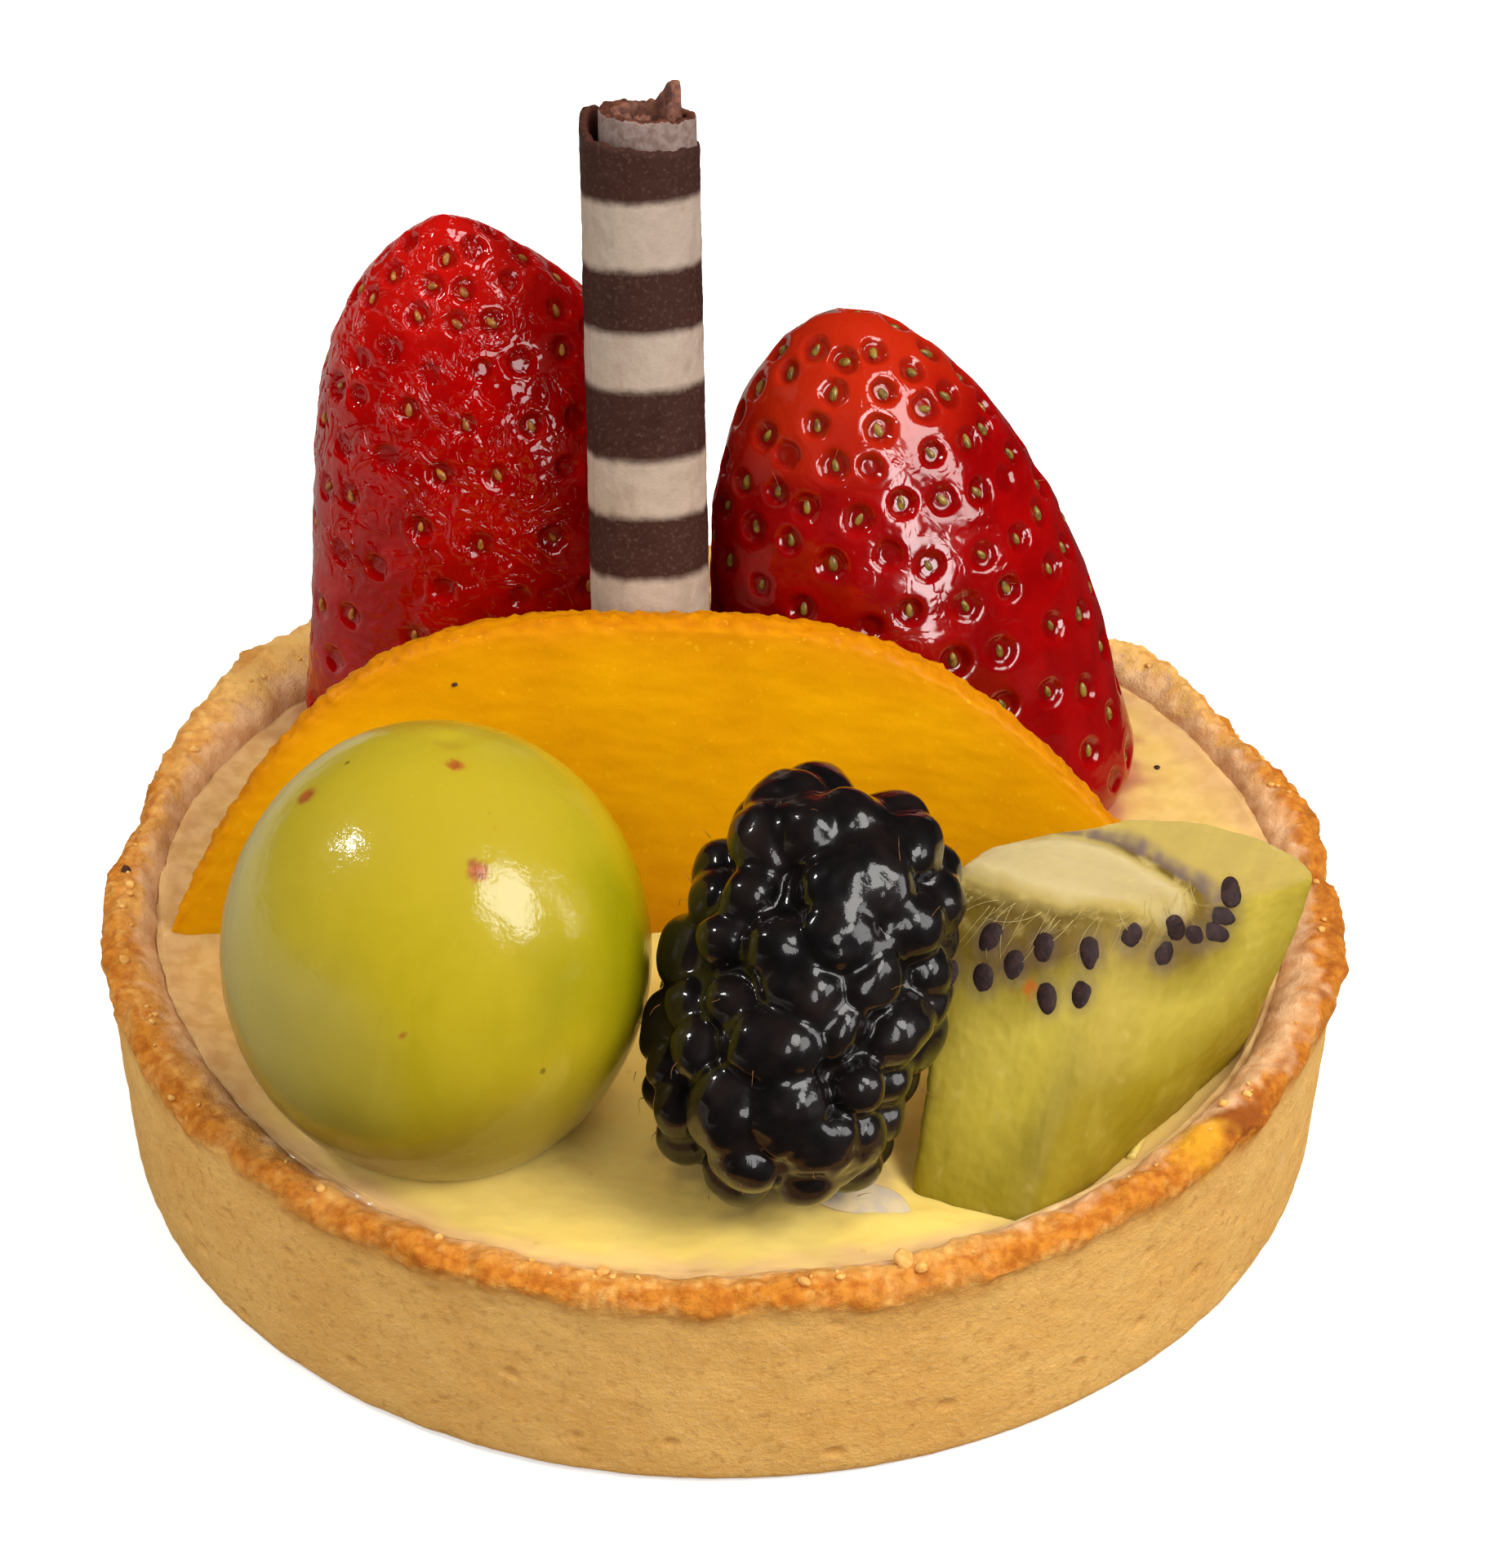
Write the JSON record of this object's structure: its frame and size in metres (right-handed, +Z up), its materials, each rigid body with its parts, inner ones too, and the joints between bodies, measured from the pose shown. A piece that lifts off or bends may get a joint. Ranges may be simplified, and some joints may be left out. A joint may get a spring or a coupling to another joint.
{
  "type": "fruit tart",
  "caption": "Small round custard tart in a shortcrust shell, topped with strawberries, a peach slice, a grape, a bramble berry, a kiwi chunk and a striped chocolate roll.",
  "frame": {"origin": "on the table, under the middle of the shell", "axes": "+Z up, +X to the right and +Y to the back as seen from the side with the grape and the kiwi"},
  "size_m": [0.0838, 0.084, 0.0675],
  "materials": {
    "crust": "matt baked crust, browner at the rim",
    "custard": "smooth and glossy",
    "strawberry": "glazed, with seeds in pits",
    "peach": "moist cut flesh",
    "grape": "smooth skin with a slight bloom",
    "bramble": "near black, glazed",
    "kiwi": "moist cut flesh with dark seeds",
    "chocolate": "dull, in dark and pale bands"
  },
  "bodies": {
    "root": {"tart_shell": "crust", "custard": "custard", "strawberry_left": "strawberry", "strawberry_right": "strawberry", "peach_slice": "peach", "grape": "grape", "bramble_berry": "bramble", "kiwi_chunk": "kiwi", "chocolate_roll": "chocolate"}
  },
  "joints": []
}
